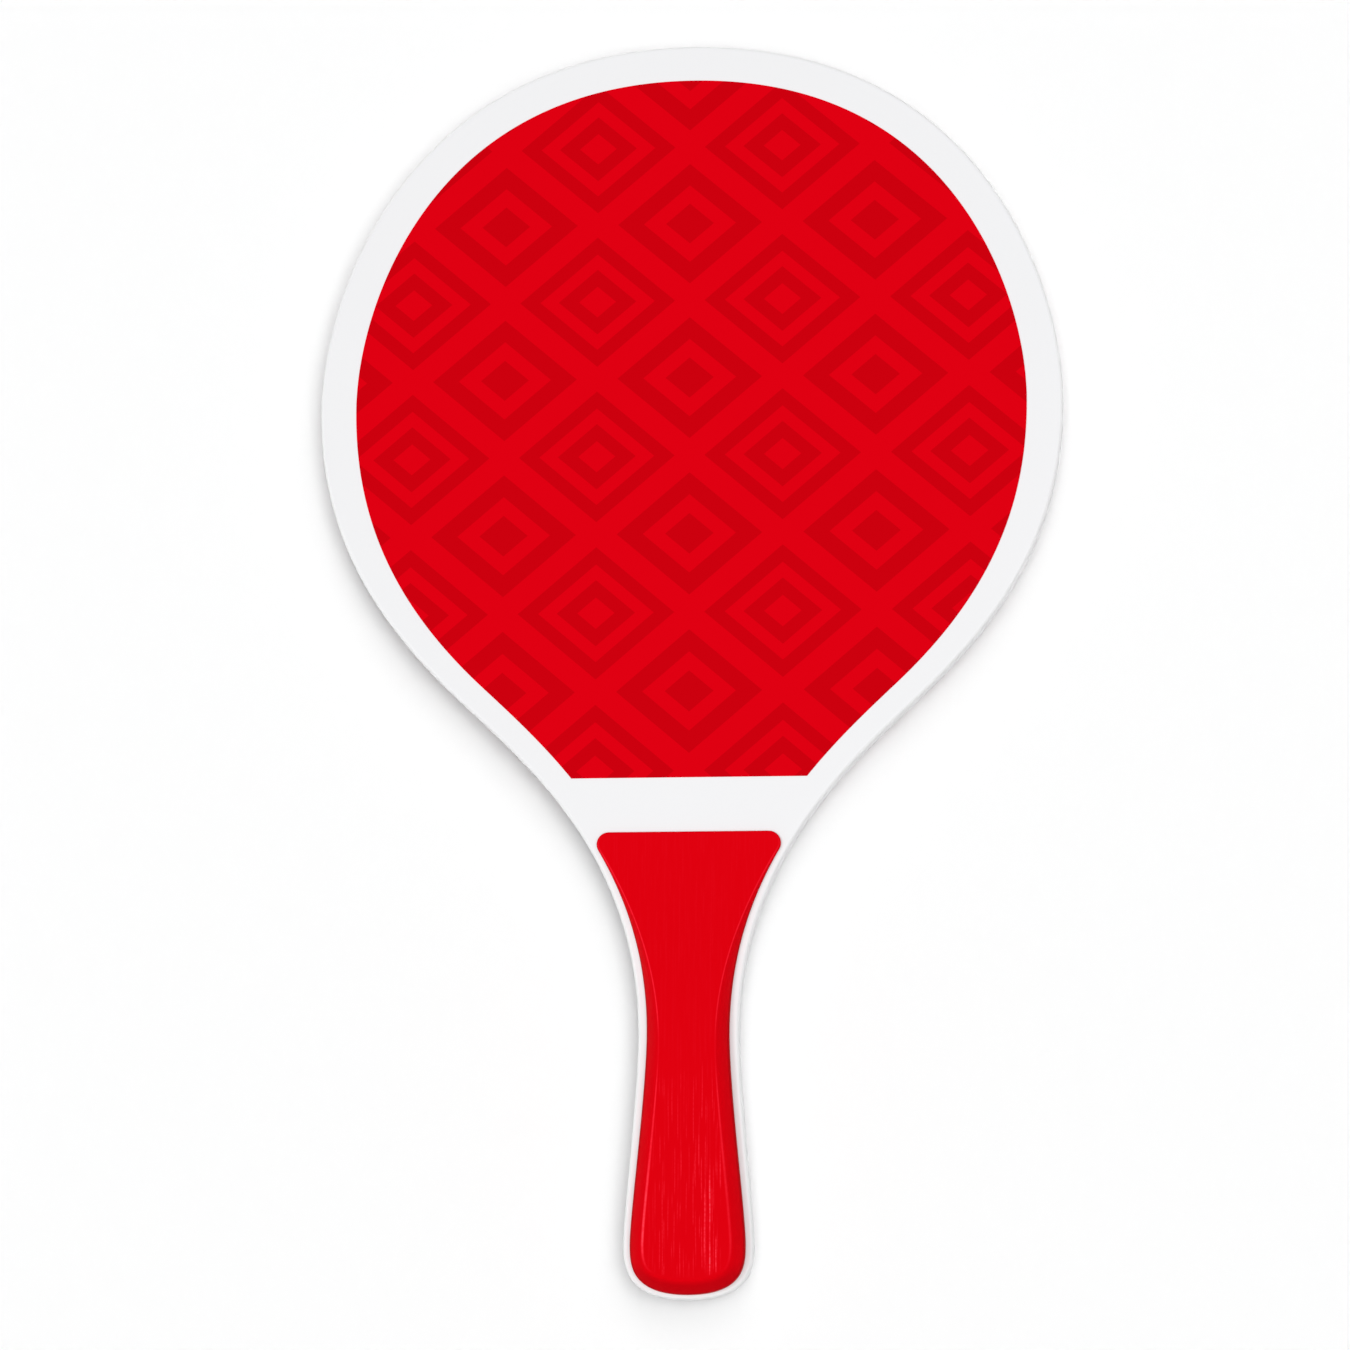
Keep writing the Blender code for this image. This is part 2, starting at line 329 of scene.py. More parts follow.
outward = add(carry, "GeometryNodeInputNamedAttribute", "outward", data_type="FLOAT_VECTOR").outputs["Attribute"]
glue_line_and_shade_mark = add(carry, "GeometryNodeInputNamedAttribute", "edge", data_type="FLOAT").outputs["Attribute"]
rim = look_up(given["Outline"], position, column)
out = look_up(given["Outline"], outward, column)
step = add(carry, "ShaderNodeSeparateXYZ", look_up(section_points, position, row)).outputs
edge = look_up(section_points, glue_line_and_shade_mark, row, "FLOAT")

# %% [markdown]
# The sums follow the section: first in from the edge, then towards the spine, then up. The spine is a line down the
# middle of the piece, a little shorter than the piece itself, so that a straight end fans into it without folding.
# Each point also notes how far it lies past the ridge, the inner end of the edge, because the finishes change there.

# %% Place of each grid point
SPINE_PAST_RIDGE = 0.015

rim_y = add(carry, "ShaderNodeSeparateXYZ", rim).outputs["Y"]
edge_width = smooth_range(carry, rim_y, given["Ramp Start"], given["Ramp End"], given["Thin Edge"], given["Full Edge"])
inset = maths(carry, "MULTIPLY", step["X"], edge_width)
back_in = add(carry, "ShaderNodeVectorMath", out, operation="SCALE")
carry.links.new(inset, back_in.inputs["Scale"])
moved_in = result(add(carry, "ShaderNodeVectorMath", rim, result(back_in), operation="SUBTRACT"))
spine_y = maths(carry, "ADD", given["Spine Centre"], maths(
    carry, "MULTIPLY", maths(carry, "SUBTRACT", rim_y, given["Spine Centre"]), given["Spine Share"]))
spine = result(add(carry, "ShaderNodeCombineXYZ", 0.0, spine_y, 0.0))
past_ridge = maths(carry, "ADD", maths(carry, "SUBTRACT", inset, edge_width),
                   maths(carry, "MULTIPLY", step["Z"], SPINE_PAST_RIDGE))
flat = add(carry, "ShaderNodeSeparateXYZ", result(
    add(carry, "ShaderNodeMix", step["Z"], moved_in, spine, data_type="VECTOR"))).outputs

top = smooth_range(carry, flat["Y"], given["Ramp Start"], given["Ramp End"], given["Thin Height"], given["Full Height"])
above = maths(carry, "MAXIMUM", maths(carry, "SUBTRACT", step["Y"], 1.0), 0.0)
upright = smooth_range(carry, flat["Y"], given["Wall Ramp Start"], given["Wall Ramp End"], given["Thin Wall"],
                       given["Full Wall"])
wall = maths(carry, "MULTIPLY", maths(carry, "MINIMUM", step["Y"], 1.0), upright)
rise = maths(carry, "MULTIPLY", above, maths(carry, "SUBTRACT", top, upright))
wave_at = result(add(carry, "ShaderNodeCombineXYZ", maths(carry, "DIVIDE", flat["X"], given["Relief Width"]),
                     maths(carry, "DIVIDE", flat["Y"], given["Relief Length"]), 0.0))
wave = noise(carry, wave_at, detail=2.0, seed=given["Seed"])
sunk = maths(carry, "MULTIPLY", maths(carry, "MULTIPLY", wave, above), given["Relief"])
height = maths(carry, "SUBTRACT", maths(carry, "ADD", given["Seat Height"], maths(carry, "ADD", wall, rise)), sunk)
placed = result(add(carry, "ShaderNodeCombineXYZ", flat["X"], flat["Y"], height))

# %% [markdown]
# The last steps close the skin. Points that meet are merged, so the seam and the spine leave no slit. A back piece is
# the front one turned over about the middle of the blade, as the real one is glued on from the other side.

# %% Closing the skin
MERGE_WITHIN = 1e-6

skin = result(add(carry, "GeometryNodeSetPosition", grid, None, placed))
skin = result(add(carry, "GeometryNodeStoreNamedAttribute", skin, None, "edge", edge, data_type="FLOAT"))
skin = result(add(carry, "GeometryNodeStoreNamedAttribute", skin, None, "past_ridge", past_ridge, data_type="FLOAT"))
skin = result(add(carry, "GeometryNodeMergeByDistance", skin, None, MERGE_WITHIN))
skin = result(add(carry, "GeometryNodeTransform", skin,
                  result(add(carry, "ShaderNodeCombineXYZ", 0.0, 0.0, given["Blade Middle"])),
                  result(add(carry, "ShaderNodeCombineXYZ", 0.0, given["Turn"], 0.0))))
skin = result(add(carry, "GeometryNodeSetShadeSmooth", skin))
skin = result(add(carry, "GeometryNodeRealizeInstances", skin))
skin = result(add(carry, "GeometryNodeSetMaterial", skin, None, given["Finish"]))
carry.links.new(skin, made["Piece"])
SOCKET = {item.name: item.identifier for item in carry.interface.items_tree if item.in_out == "INPUT"}
print("the tree has", len(carry.nodes), "nodes and", len(SOCKET), "inputs")

# %% [markdown]
# One call makes a piece: it puts the loop into the scene, sets the tree's inputs, and keeps what the tree gives as a
# plain mesh. It then measures the volume. A positive volume shows that the skin is closed and faces outwards.

# %% Making a piece
BLADE_MIDDLE = sum(corner.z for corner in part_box("core_veneer")) / 2
finishes = {name: bpy.data.materials.new(name) for name in
            ("white_lacquer", "lacquered_rim", "printed_film", "painted_grip")}


def make_piece(name, half, section, slot, node, turned=False, **sizes):
    """Carries a section round an outline, gives the piece its body and its finish, and hides the part that it stands
    for.
    """
    piece = as_object(name, loop_mesh(name, half))
    modifier = piece.modifiers.new("carry", "NODES")
    modifier.node_group = carry
    values = {"Section": section, "Finish": finishes[slot], "Blade Middle": BLADE_MIDDLE,
              "Turn": math.pi if turned else 0.0}
    values.update({label.replace("_", " ").title(): value for label, value in sizes.items()})
    for label, value in values.items():
        modifier[SOCKET[label]] = value
    shaped = bpy.data.meshes.new_from_object(piece.evaluated_get(bpy.context.evaluated_depsgraph_get()))
    piece.modifiers.clear()
    piece.data = shaped
    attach(piece, "root")
    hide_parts(node)
    measure = bmesh.new()
    measure.from_mesh(shaped)
    loose = sum(not edge.is_manifold for edge in measure.edges)
    print(f"{name}: {sum(len(p.vertices) - 2 for p in shaped.polygons)} triangles, {loose} open edges, "
          f"{measure.calc_volume(signed=True) * 1e6:.2f} cm3")
    measure.free()


# %% [markdown]
# The blade is five veneers thick. Its rim is rounded over and lacquered, and each glue line still shows as a fine
# groove, because the lacquer sinks where end grain meets glue. One skin for the whole blade would hide the plies, so
# each ply is a piece of its own, with its own share of the rounded rim.

# %% Plies of the blade
FACE_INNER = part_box("face_veneer_front")[0].z - BLADE_MIDDLE
BLADE_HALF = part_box("face_veneer_front")[1].z - BLADE_MIDDLE
CROSS_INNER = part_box("cross_veneer_front")[0].z - BLADE_MIDDLE
CROSS_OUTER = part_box("cross_veneer_front")[1].z - BLADE_MIDDLE
CORE_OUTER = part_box("core_veneer")[1].z - BLADE_MIDDLE
FACE_JOINT = (FACE_INNER + CROSS_OUTER) / 2
CORE_JOINT = (CROSS_INNER + CORE_OUTER) / 2
RIM_ROUNDING = 0.0010
GROOVE_DEPTH = 0.00005
GROOVE_HALF = 0.00009
ROUNDING_STEPS = 10


def inner_section(name, thickness):
    """The section of a ply with an upright rim between two glue lines."""
    sunk, groove = GROOVE_DEPTH / RIM_ROUNDING, GROOVE_HALF / thickness
    return section_object(name, [(sunk, 0, 1, 0), (sunk, 0, 0, 1), (0, groove, 0, 0), (0, 0.5, 0, 0),
                                 (0, 1 - groove, 0, 0), (sunk, 1, 0, 1), (sunk, 1, 1, 0)])


def outer_section(name, thickness):
    """The section of a face ply: a glue line, a short upright rim, a quarter round, and the flat face."""
    sunk, groove, upright = GROOVE_DEPTH / RIM_ROUNDING, GROOVE_HALF / thickness, 1 - RIM_ROUNDING / thickness
    rows = [(sunk, 0, 1, 0), (sunk, 0, 0, 1), (0, groove, 0, 0)]
    for step in range(ROUNDING_STEPS + 1):
        turned = math.pi / 2 * step / ROUNDING_STEPS
        rows.append((1 - math.cos(turned), upright + (1 - upright) * math.sin(turned), 0, 0))
    rows += [(1.2, 1, 0, 0), (1.8, 1, 0, 0)] + [(1.8, 1, spine, 0) for spine in (0.1, 0.3, 0.6, 1.0)]
    return section_object(name, rows)


core_section = inner_section("core section", 2 * CORE_JOINT)
cross_section = inner_section("cross section", FACE_JOINT - CORE_JOINT)
face_section = outer_section("face section", BLADE_HALF - FACE_JOINT)


def ply_sizes(low, high):
    """A ply has an even thickness and an even rounding."""
    thick = high - low
    return dict(seat_height=low, thin_wall=thick, full_wall=thick, thin_height=thick, full_height=thick,
                thin_edge=RIM_ROUNDING, full_edge=RIM_ROUNDING)


make_piece("core_ply", blade_half, core_section, "lacquered_rim", "core_veneer", **ply_sizes(-CORE_JOINT, CORE_JOINT))
for side, turned in (("front", False), ("back", True)):
    make_piece("cross_ply_" + side, blade_half, cross_section, "lacquered_rim", "cross_veneer_" + side, turned,
               **ply_sizes(CORE_JOINT, FACE_JOINT))
    make_piece("face_ply_" + side, blade_half, face_section, "white_lacquer", "face_veneer_" + side, turned,
               **ply_sizes(FACE_JOINT, BLADE_HALF))

# %% [markdown]
# The film is thin and lies flat on the lacquer. Its cut edge is only just rounded, so it ends in a crisp line. It is
# let into the lacquer by a hair, because two surfaces in exactly the same place can show through each other.

# %% Printed films
FILM_THICKNESS = 0.00025
FILM_EDGE = 0.00012
LET_IN = 0.00002
film_section = section_object("film section", [
    (0, 0, 1, 0), (0, 0, 0, 0), (0, 0.45, 0, 1), (0.12, 0.72, 0, 1), (0.45, 0.94, 0, 1), (1, 1, 0, 1),
    (2.5, 1, 0, 0), (2.5, 1, 0.1, 0), (2.5, 1, 0.3, 0), (2.5, 1, 0.6, 0), (2.5, 1, 1, 0)])
FILM_SIZES = dict(seat_height=BLADE_HALF - LET_IN, thin_wall=FILM_THICKNESS, full_wall=FILM_THICKNESS,
                  thin_height=FILM_THICKNESS, full_height=FILM_THICKNESS, thin_edge=FILM_EDGE, full_edge=FILM_EDGE,
                  spine_centre=0.08)
for side, turned in (("front", False), ("back", True)):
    make_piece("film_" + side, film_half, film_section, "printed_film", "face_film_" + side, turned, **FILM_SIZES)

# %% [markdown]
# The grip scale is sawn from solid wood, glued to the blade, and shaped after that. A low upright wall stands on the
# blade, and above it a chamfer runs round the scale, narrow at the head and wide along the handle. A rasp leaves such
# a chamfer a little bellied, and sandpaper has taken the sharpness off its two edges. So the section is drawn with a
# slight curve and with rounded corners. The small round of the ridge is what catches the light as a thin line, so the
# rows over the flat top lie a little closer together near it.

# %% Grip scales
GRIP_WALL = 0.0023
THIN_WALL = 0.0008
GRIP_THIN = 0.0011
CHAMFER = 0.0039
CHAMFER_AT_TOP = 0.0003
RAMP_LENGTH = 0.070
WALL_RAMP_START = -0.085
WALL_RAMP_END = -0.128
CHAMFER_BELLY = 1.40
FOOT_ROUND = 0.08
RIDGE_ROUND = 0.12
FOOT_STEPS, RIDGE_STEPS, TOP_STEPS = 6, 8, 26
SPREAD_OVER_TOP = 1.1
GRIP_FULL = cad_high.z - BLADE_MIDDLE - BLADE_HALF + LET_IN


def rounded_corner(before, corner, after, steps):
    """Points of a corner that is rounded over, from one place before it to one after it."""
    points = []
    for step in range(steps + 1):
        share = step / steps
        points.append(tuple(a * (1 - share) ** 2 + b * 2 * share * (1 - share) + c * share ** 2
                            for a, b, c in zip(before, corner, after)))
    return points


def on_chamfer(share):
    """A place on the chamfer, which is steep at its foot and flattens towards the ridge."""
    return share, 1 + CHAMFER_BELLY * share + (1 - CHAMFER_BELLY) * share ** 2


# The last value of a row darkens the finish: on the grip, 1 on the upright wall and the chamfer's foot, as painted
# shade.
grip_rows = [(0, 0, 1, 1), (0, 0, 0, 1), (0, 0.5, 0, 1)]
grip_rows += [(*p, 0, 1) for p in rounded_corner((0, 1 - FOOT_ROUND), (0, 1), on_chamfer(FOOT_ROUND), FOOT_STEPS)]
grip_rows += [(*on_chamfer(share), 0, 0) for share in (0.2, 0.3, 0.4, 0.5, 0.6, 0.7, 0.8)]
grip_rows += [(*p, 0, 0) for p in
              rounded_corner(on_chamfer(1 - RIDGE_ROUND), (1, 2), (1 + RIDGE_ROUND, 2), RIDGE_STEPS)]
grip_rows += [(1.2, 2, (step / TOP_STEPS) ** SPREAD_OVER_TOP, 0) for step in range(TOP_STEPS + 1)]
grip_section = section_object("grip section", grip_rows)
GRIP_SIZES = dict(seat_height=BLADE_HALF - LET_IN, thin_wall=THIN_WALL, full_wall=GRIP_WALL, thin_height=GRIP_THIN,
                  full_height=GRIP_FULL, thin_edge=CHAMFER_AT_TOP, full_edge=CHAMFER, ramp_start=GRIP_TOP,
                  ramp_end=GRIP_TOP - RAMP_LENGTH, wall_ramp_start=WALL_RAMP_START, wall_ramp_end=WALL_RAMP_END,
                  spine_centre=-0.12, relief=0.00005)
for side, turned, seed in (("front", False, 3.0), ("back", True, 8.0)):
    make_piece("grip_" + side, grip_half, grip_section, "painted_grip", "grip_scale_" + side, turned, seed=seed,
               **GRIP_SIZES)
for section in (core_section, cross_section, face_section, film_section, grip_section):
    bpy.data.objects.remove(section, do_unlink=True)

# %% [markdown]
# Some effects return in more than one place, so each is a shader group with named inputs. The first is wood grain:
# noise that is drawn out along the bat. It shows faintly through lacquer and film, and stands open under thin paint.

# %% Grain, a shader group
NUMBER, DIRECTION = "NodeSocketFloat", "NodeSocketVector"
grain, given, made = open_tree(
    "wood grain", "ShaderNodeTree",
    (("Coordinates", DIRECTION, None), ("Line Width", NUMBER, 0.001), ("Line Length", NUMBER, 0.02),
     ("Threshold", NUMBER, 0.6), ("Softness", NUMBER, 0.1), ("Seed", NUMBER, 0.0)),
    (("Lines", NUMBER), ("Height", NUMBER)))
spread = add(grain, "ShaderNodeSeparateXYZ", given["Coordinates"]).outputs
drawn = result(add(grain, "ShaderNodeCombineXYZ",
                   maths(grain, "DIVIDE", spread["X"], given["Line Width"]),
                   maths(grain, "DIVIDE", spread["Y"], given["Line Length"]),
                   maths(grain, "DIVIDE", spread["Z"], given["Line Width"])))
fibre = noise(grain, drawn, detail=2.0, roughness=0.55, seed=given["Seed"])
lines = smooth_range(grain, fibre, given["Threshold"], maths(grain, "ADD", given["Threshold"], given["Softness"]),
                     0.0, 1.0)
grain.links.new(lines, made["Lines"])
grain.links.new(fibre, made["Height"])
print("grain group:", [item.name for item in grain.interface.items_tree])

# %% [markdown]
# On the grip, raised fibres are drawn as hairs, which its finish paints in as highlights: thin straight lines, each of
# its own length and strength. Stretched noise gives soft flames instead. So the width of the bat is cut into strips,
# and each strip gets one hair at a random place, which fades in and out along its way and is broken into beads by the
# open pores.

# %% Hairs, a shader group
BEND, BEND_WIDTH, BEND_LENGTH = 0.0008, 0.006, 0.020
BEAD_LENGTH = 0.0008
WEAKEST_HAIR, FAINTEST_BEAD = 0.45, 0.45
EDGE_OF_STRIP = 0.2
HAIRS_APART = 7.3
HAIR_ON, BEAD_ON, HAIR_SIDE = (0.46, 0.60), (0.35, 0.60), (0.25, 0.75)

hairs, given, made = open_tree(
    "raised hairs", "ShaderNodeTree",
    (("Coordinates", DIRECTION, None), ("Spacing", NUMBER, 0.0012), ("Width", NUMBER, 0.0003),
     ("Length", NUMBER, 0.012), ("Seed", NUMBER, 0.0)),
    (("Lines", NUMBER),))
spread = add(hairs, "ShaderNodeSeparateXYZ", given["Coordinates"]).outputs
bend_at = result(add(hairs, "ShaderNodeCombineXYZ", maths(hairs, "DIVIDE", spread["X"], BEND_WIDTH),
                     maths(hairs, "DIVIDE", spread["Y"], BEND_LENGTH), 0.0))
bend = noise(hairs, bend_at, seed=given["Seed"])
across = maths(hairs, "ADD", spread["X"], maths(hairs, "MULTIPLY", bend, BEND))
strip = maths(hairs, "DIVIDE", across, given["Spacing"])
number = maths(hairs, "FLOOR", strip)
chance = add(hairs, "ShaderNodeTexWhiteNoise", maths(hairs, "ADD", number, given["Seed"]), noise_dimensions="1D")
random = add(hairs, "ShaderNodeSeparateColor", chance.outputs["Color"]).outputs
centre = maths(hairs, "MULTIPLY_ADD", random["Red"], 1 - 2 * EDGE_OF_STRIP, EDGE_OF_STRIP)
off_hair = maths(hairs, "ABSOLUTE", maths(hairs, "SUBTRACT", maths(hairs, "FRACT", strip), centre))
off_hair = maths(hairs, "DIVIDE", maths(hairs, "MULTIPLY", off_hair, given["Spacing"]), given["Width"])


def along_hair(length):
    """Noise that runs along each hair by itself."""
    at = add(hairs, "ShaderNodeCombineXYZ", maths(hairs, "MULTIPLY", number, HAIRS_APART),
             maths(hairs, "DIVIDE", spread["Y"], length), given["Seed"])
    return noise(hairs, result(at))


shown = smooth_range(hairs, along_hair(given["Length"]), *HAIR_ON, 0.0, 1.0)
beads = smooth_range(hairs, along_hair(BEAD_LENGTH), *BEAD_ON, FAINTEST_BEAD, 1.0)
strength = maths(hairs, "MULTIPLY_ADD", random["Green"], 1 - WEAKEST_HAIR, WEAKEST_HAIR)
hair = maths(hairs, "MULTIPLY", smooth_range(hairs, off_hair, *HAIR_SIDE, 1.0, 0.0), strength)
hairs.links.new(maths(hairs, "MULTIPLY", hair, maths(hairs, "MULTIPLY", shown, beads)), made["Lines"])
print("hairs group:", [item.name for item in hairs.interface.items_tree])

# %% [markdown]
# The third effect is the unevenness of a sprayed or laid skin: a fine orange peel, and slow patches that are a
# little duller or brighter. It keeps large plain surfaces from looking like painted metal.

# %% Unevenness, a shader group
uneven, given, made = open_tree(
    "uneven skin", "ShaderNodeTree",
    (("Coordinates", DIRECTION, None), ("Peel Size", NUMBER, 0.002), ("Patch Size", NUMBER, 0.04)),
    (("Peel", NUMBER), ("Patches", NUMBER)))
for label, size, detail in (("Peel", "Peel Size", 2.0), ("Patches", "Patch Size", 3.0)):
    scale = maths(uneven, "DIVIDE", 1.0, given[size])
    uneven.links.new(noise(uneven, given["Coordinates"], scale=scale, detail=detail), made[label])
print("unevenness group:", [item.name for item in uneven.interface.items_tree])

# %% [markdown]
# Each finish starts from the same few nodes: the piece's own coordinates, the groups, and one shader. Helpers place
# them, so that each finish below is only what makes it different.

# %% Helpers for finishes
PATCH_RANGE = (0.3, 0.7)


def open_finish(name, **plain):
    """Clears a finish and gives its tree, its coordinates and its shader, with the plain values set on the shader."""
    finish = finishes[name]
    finish.use_nodes = True
    tree = finish.node_tree
    tree.nodes.clear()
    shader = tree.nodes.new("ShaderNodeBsdfPrincipled")
    tree.links.new(shader.outputs["BSDF"], tree.nodes.new("ShaderNodeOutputMaterial").inputs["Surface"])
    for label, value in plain.items():
        shader.inputs[label.replace("_", " ").title().replace("Ior", "IOR")].default_value = value
    return tree, tree.nodes.new("ShaderNodeTexCoord").outputs["Object"], shader.inputs


def group(tree, shared, where, **values):
    """Places a shader group in a finish, with its own values."""
    node = tree.nodes.new("ShaderNodeGroup")
    node.node_tree = shared
    tree.links.new(where, node.inputs["Coordinates"])
    for label, value in values.items():
        node.inputs[label.replace("_", " ").title()].default_value = value
    return node.outputs


def kept_value(tree, name):
    """A value that the points of a piece keep from its section."""
    return add(tree, "ShaderNodeAttribute", attribute_name=name).outputs["Fac"]


def patchy(tree, skin_of, low, high):
    """A value that changes slowly over the skin, between a low and a high one."""
    return smooth_range(tree, skin_of["Patches"], *PATCH_RANGE, low, high)


def window(tree, value, start, full, fall, end):
    """A soft mask that opens between start and full and closes between fall and end."""
    opening = smooth_range(tree, value, start, full, 0.0, 1.0)
    return maths(tree, "MULTIPLY", opening, smooth_range(tree, value, fall, end, 1.0, 0.0))


def blend_colour(tree, share, first, second):
    """A colour between two others."""
    return result(add(tree, "ShaderNodeMix", share, first, second, data_type="RGBA"))


def bump(tree, height, depth, below=None):
    """A bump of a real depth in metres, laid over another one."""
    node = add(tree, "ShaderNodeBump", 1.0, depth, None, height)
    if below is not None:
        tree.links.new(below, node.inputs["Normal"])
    return node.outputs["Normal"]


# %% [markdown]
# White lacquer is sprayed over sanded veneer. It is nearly pure white and satin, with the veneer's grain only just
# felt under it. The rim gets more coats of the same lacquer, because end grain drinks it, and ends up duller. Its
# colour is also painted a little whiter, as painted light that lifts the shade on the rim. The glue lines stay a shade
# darker.

# %% White lacquer
LACQUER = (0.874, 0.874, 0.886, 1)
LACQUER_THIN = (0.846, 0.846, 0.858, 1)
# The rim's whiter colour is painted light, lifting the shade on the rim.
LACQUER_RIM_PAINTED_LIGHTER = (0.950, 0.950, 0.954, 1)
RIM_TO_FACE = (-0.0009, -0.0001)
THIN_OVER_LINES, THIN_IN_PATCHES = 0.10, 0.25
DULLEST, GLOSSIEST = 0.05, -0.04

for name, roughness, worn_share in (("white_lacquer", 0.34, 0.0), ("lacquered_rim", 0.46, 0.45)):
    tree, where, shader = open_finish(name, metallic=0.0)
    veneer = group(tree, grain, where, line_width=0.0011, line_length=0.035, threshold=0.55, softness=0.2, seed=1.0)
    skin_of = group(tree, uneven, where, peel_size=0.0016, patch_size=0.05)
    thin_coat_and_highlight = maths(tree, "MULTIPLY_ADD", veneer["Lines"], THIN_OVER_LINES,
                 maths(tree, "MULTIPLY", skin_of["Patches"], THIN_IN_PATCHES))
    thin_coat_and_highlight = maths(tree, "MULTIPLY_ADD", kept_value(tree, "edge"), worn_share, thin_coat_and_highlight)
    # On the rim the colour is painted whiter, as painted light against the rim's shade.
    on_rim = smooth_range(tree, kept_value(tree, "past_ridge"), *RIM_TO_FACE, 1.0, 0.0)
    coat_with_painted_light = blend_colour(tree, on_rim, LACQUER, LACQUER_RIM_PAINTED_LIGHTER)
    tree.links.new(blend_colour(tree, thin_coat_and_highlight, coat_with_painted_light, LACQUER_THIN), shader["Base Color"])
    tree.links.new(patchy(tree, skin_of, roughness + GLOSSIEST, roughness + DULLEST), shader["Roughness"])
    under = bump(tree, veneer["Height"], depth=0.00001)
    tree.links.new(bump(tree, skin_of["Peel"], depth=0.000012, below=under), shader["Normal"])
    print(name, "has", len(tree.nodes), "nodes")

# %% [markdown]
# The print on the film is tone on tone: two reds in a lattice of nested lozenges, each about three fingers wide. It
# could be an image, but arithmetic keeps its edges sharp at any distance. Two sawtooth waves fold the whole face into
# one lozenge, and the distance from its middle then decides which bands are dark.

# %% Printed film
PRINT_RED = (0.753, 0.0, 0.006, 1)
PRINT_DARK = (0.610, 0.0, 0.0044, 1)
LOZENGE_WIDTH = 0.056
LOZENGE_HEIGHT = 0.048
PRINT_CENTRE_Y = 0.086
BANDS_OF_ONE_KIND = ((-1.0, 0.26), (0.50, 0.78))
BANDS_OF_OTHER_KIND = ((0.20, 0.42), (0.62, 0.84))
FADING, VENEER_SHOWS = 0.35, 0.05

tree, where, shader = open_finish("printed_film", metallic=0.0, specular_ior_level=0.02,
                                  specular_tint=(1.0, 0.10, 0.13, 1))
spread = add(tree, "ShaderNodeSeparateXYZ", where).outputs


def fold(value, offset, period):
    """How far a coordinate is from the nearest lozenge's middle, as a share of half the lozenge."""
    turns = maths(tree, "DIVIDE", maths(tree, "ADD", value, offset + period / 2), period)
    centred = maths(tree, "SUBTRACT", maths(tree, "FRACT", turns), 0.5)
    return maths(tree, "MULTIPLY", maths(tree, "ABSOLUTE", centred), 2.0)


away = maths(tree, "ADD", fold(spread["X"], 0.0, LOZENGE_WIDTH), fold(spread["Y"], -PRINT_CENTRE_Y, LOZENGE_HEIGHT))
inner = maths(tree, "LESS_THAN", away, 1.0)
near = maths(tree, "MINIMUM", away, maths(tree, "SUBTRACT", 2.0, away))


def dark_bands(bands):
    """A mask of 1 where the distance from the lozenge's middle lies in one of two bands."""
    return maths(tree, "MAXIMUM", *(maths(tree, "MULTIPLY", maths(tree, "GREATER_THAN", near, start),
                                          maths(tree, "LESS_THAN", near, end)) for start, end in bands))


one_kind = maths(tree, "MULTIPLY", inner, dark_bands(BANDS_OF_ONE_KIND))
other_kind = maths(tree, "MULTIPLY", maths(tree, "SUBTRACT", 1.0, inner), dark_bands(BANDS_OF_OTHER_KIND))
ink = maths(tree, "ADD", one_kind, other_kind)
veneer = group(tree, grain, where, line_width=0.0009, line_length=0.030, threshold=0.60, softness=0.2, seed=4.0)
skin_of = group(tree, uneven, where, peel_size=0.0009, patch_size=0.06)
faded = maths(tree, "MULTIPLY", maths(tree, "SUBTRACT", skin_of["Patches"], 0.5), FADING)
share = maths(tree, "MULTIPLY_ADD", veneer["Lines"], VENEER_SHOWS, maths(tree, "ADD", ink, faded))
tree.links.new(blend_colour(tree, share, PRINT_RED, PRINT_DARK), shader["Base Color"])
tree.links.new(patchy(tree, skin_of, 0.36, 0.42), shader["Roughness"])
under = bump(tree, veneer["Height"], depth=0.00001)
tree.links.new(bump(tree, skin_of["Peel"], depth=0.000008, below=under), shader["Normal"])
print("lozenges:", LOZENGE_WIDTH * 1000, "x", LOZENGE_HEIGHT * 1000, "mm")

# %% [markdown]
# The grip is painted in one coat over open wood. Bright lines along the handle, where raised fibres would catch the
# light, are painted highlights: bold ones on the lower right of the flat top, and fine ones beside them. A painted
# highlight first turns a brighter red, and only where it is strongest does it turn pale. A thin painted highlight also
# runs along the ridge, strongest low on the left, and weakest at the waist. The upright wall and the foot of the
# chamfer, and the outer chamfer at the butt, are painted darker as painted shade.

# %% Painted grip
# The brighter and the pale red are painted highlights, and the deep red is painted shade.
GRIP_RED = (0.755, 0.0003, 0.0050, 1)
GRIP_BRIGHT = (1.0, 0.017, 0.036, 1)
GRIP_HIGHLIGHT_PALE = (1.0, 0.060, 0.090, 1)
GRIP_SHADE_RED = (0.480, 0.0005, 0.004, 1)
BOLD_HIGHLIGHTS_X, BOLD_HIGHLIGHTS_Y = (0.0010, 0.0040, 0.0090, 0.0110), (-0.1850, -0.1800, -0.1560, -0.1370)
FINE_HIGHLIGHTS_X, FINE_HIGHLIGHTS_Y = (-0.0130, -0.0060, 0.0090, 0.0110), (-0.1860, -0.1800, -0.1400, -0.1150)
BOLD_HIGHLIGHTS_GAIN, BOLD_ELSEWHERE = 2.25, 0.09
FINE_HIGHLIGHTS_GAIN, FINE_ELSEWHERE = 0.54, 0.10
HAIRS_FROM_RIDGE = (0.0002, 0.0012)
RIDGE_LINE, RIDGE_NARROWS = (-0.00040, 0.00010, 0.00020, 0.00070), (-0.160, -0.120, 1.0, 0.55)
RIDGE_RUN, RIDGE_BREAKS = (-0.184, -0.172, -0.062, -0.052), (0.35, 0.60, 0.75, 1.0)
